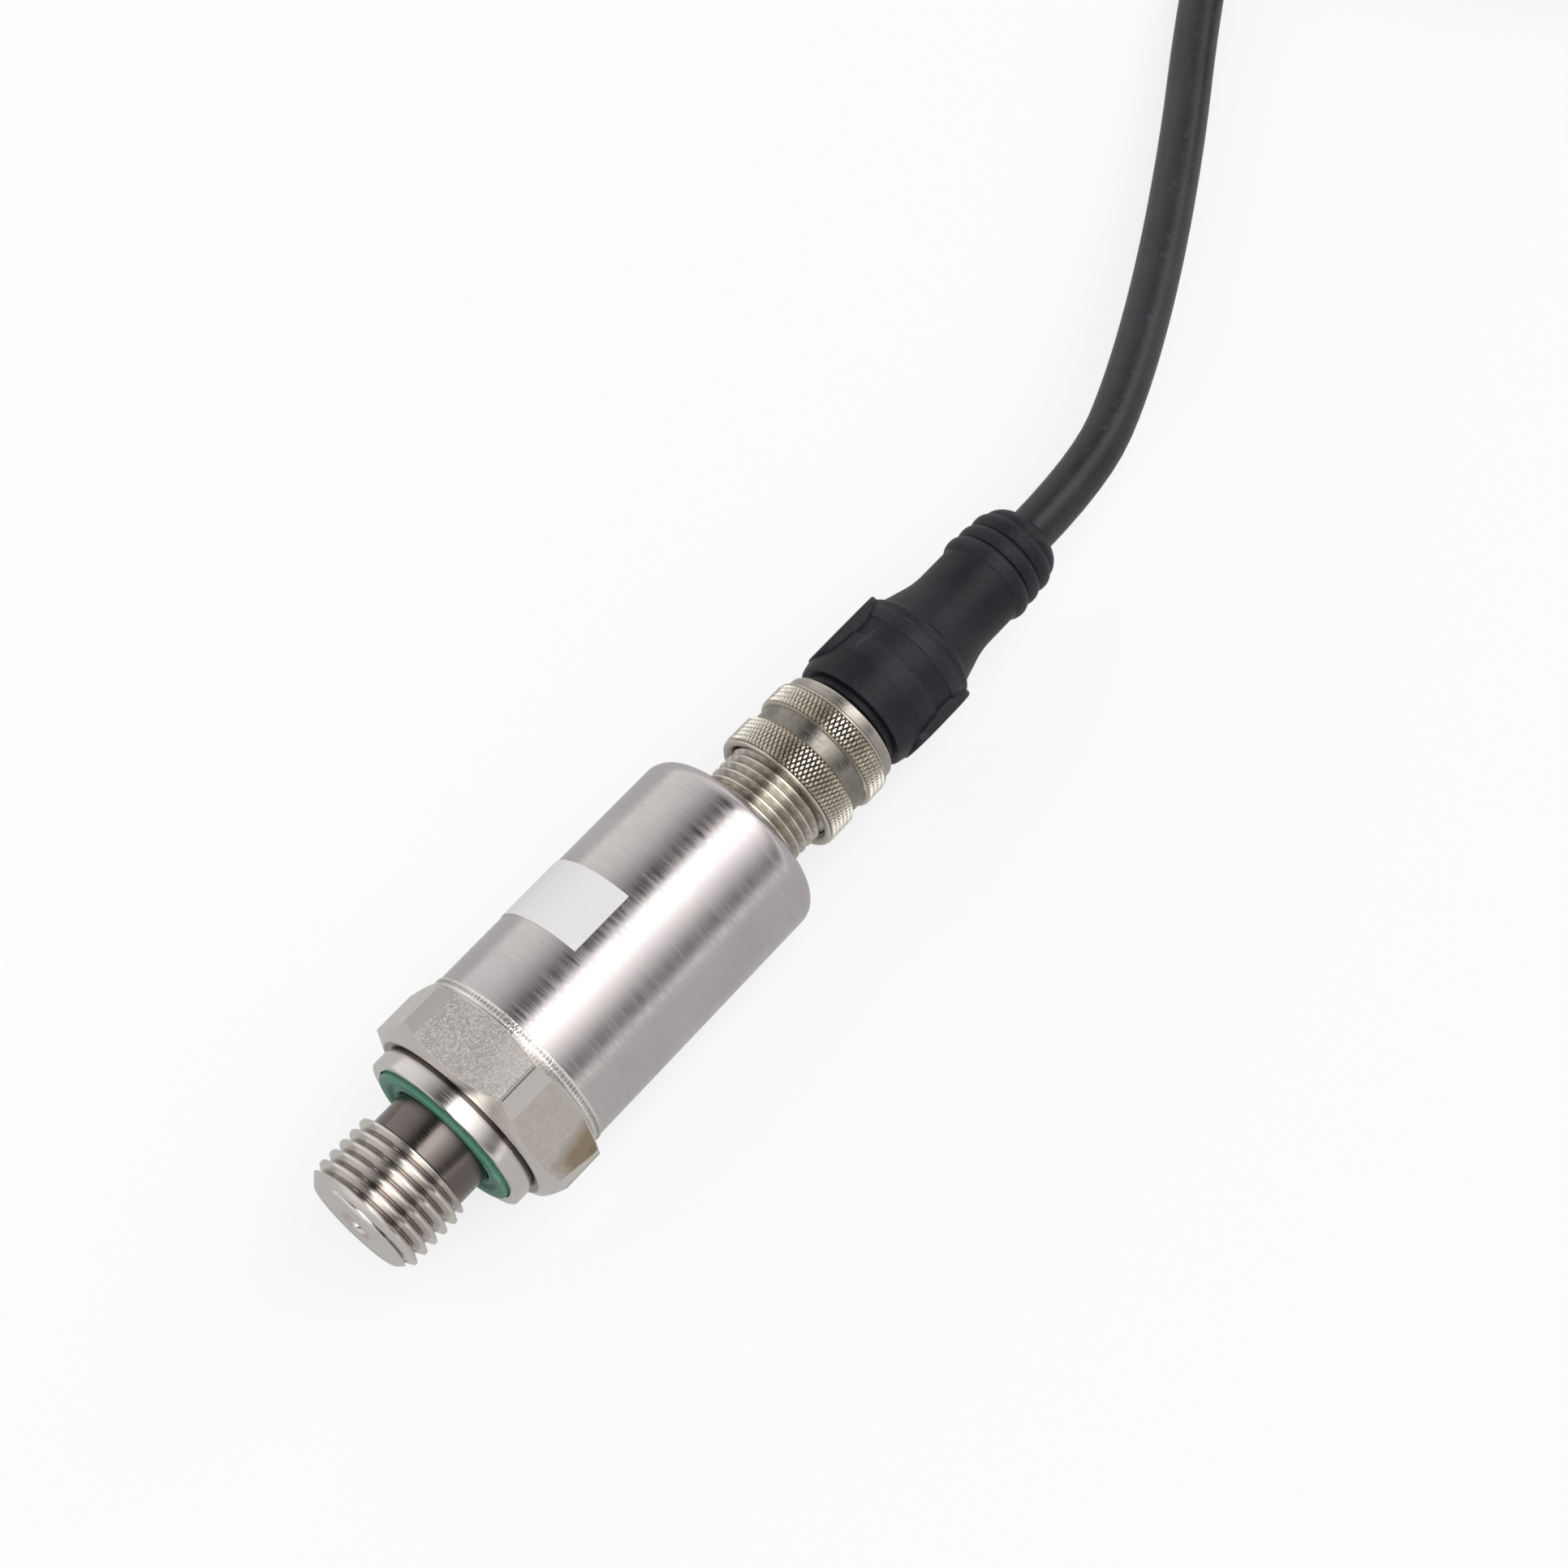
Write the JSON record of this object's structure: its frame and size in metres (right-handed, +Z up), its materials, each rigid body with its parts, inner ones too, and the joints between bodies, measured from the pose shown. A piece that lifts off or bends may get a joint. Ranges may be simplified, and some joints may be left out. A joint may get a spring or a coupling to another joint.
{
  "type": "pressure transmitter",
  "caption": "Slim cylindrical pressure transmitter: threaded stud with profile seal, wrench hexagon, welded housing, round plug, screwed-on cable socket with wound-up cable.",
  "frame": {"origin": "centre of the wrench hexagon's lower flat, on which the part lies", "axes": "+X along the axis from the process thread to the cable, +Z up, out of the flat that it lies on"},
  "size_m": [0.305, 0.0608, 0.022],
  "materials": {
    "turned_steel": "fine turned stainless steel, bright",
    "housing_steel": "stainless steel, finely brushed round the axis",
    "weld_steel": "rippled laser weld bead",
    "green_seal": "matt green fluororubber",
    "black_rubber": "matt black",
    "cell_ceramic": "ground alumina",
    "clamp_brass": "turned",
    "lead_wire": "insulated wire",
    "label_foil": "pale grey satin foil, left blank",
    "holder_plastic": "natural moulded plastic",
    "board_green": "green solder resist",
    "chip_black": "moulded package",
    "capacitor_tan": "fired ceramic",
    "resistor_dark": "glazed film",
    "nickel_sleeve": "nickel plated brass, thread cut",
    "nickel_nut": "nickel plated brass, diamond knurled",
    "insert_plastic": "glass filled, black",
    "gold_contact": "gold plated",
    "moulded_grip": "soft matt black overmoulding",
    "cable_jacket": "matt black jacket",
    "tie_plastic": "black nylon",
    "core_brown": "insulation",
    "core_white": "insulation",
    "core_blue": "insulation",
    "core_black": "insulation",
    "tinned_copper": "tinned crimp tube"
  },
  "bodies": {
    "transmitter": {"amplifier_chip": "chip_black", "board_holder": "holder_plastic", "cell_leads": "lead_wire", "cell_seal": "black_rubber", "ceramic_cell": "cell_ceramic", "chip_capacitors": "capacitor_tan", "chip_resistors": "resistor_dark", "circuit_board": "board_green", "clamp_ring": "clamp_brass", "housing": "housing_steel", "label": "label_foil", "output_chip": "chip_black", "plug_insert": "insert_plastic", "plug_leads": "lead_wire", "plug_pin_1": "gold_contact", "plug_pin_2": "gold_contact", "plug_pin_3": "gold_contact", "plug_pin_4": "gold_contact", "plug_seal": "black_rubber", "plug_sleeve": "nickel_sleeve", "process_connection": "turned_steel", "seal_ring": "green_seal", "weld_seam": "weld_steel"},
    "nut": {"coupling_nut": "nickel_nut"},
    "connector": {"cable": "cable_jacket", "cable_coil": "cable_jacket", "cable_tail": "cable_jacket", "cable_tie_1": "tie_plastic", "cable_tie_2": "tie_plastic", "connector_body": "moulded_grip", "core_black": "core_black", "core_blue": "core_blue", "core_brown": "core_brown", "core_ferrules": "tinned_copper", "core_white": "core_white", "socket_contact_1": "gold_contact", "socket_contact_2": "gold_contact", "socket_contact_3": "gold_contact", "socket_contact_4": "gold_contact", "socket_insert": "insert_plastic", "socket_seal": "black_rubber"}
  },
  "joints": [
    {"name": "connector_slide", "type": "slide", "parent": "transmitter", "child": "connector", "axis": [1, 0, 0], "range_m": [0, 0.0055]},
    {"name": "nut_turn", "type": "hinge", "parent": "connector", "child": "nut", "pos_m": [0.05, 0, 0.011], "axis": [1, 0, 0], "range_deg": [0, 1981]}
  ],
  "couplings": [
    {"joint": "nut_turn", "follows": "connector_slide", "rad_per_m": 6283.2}
  ]
}
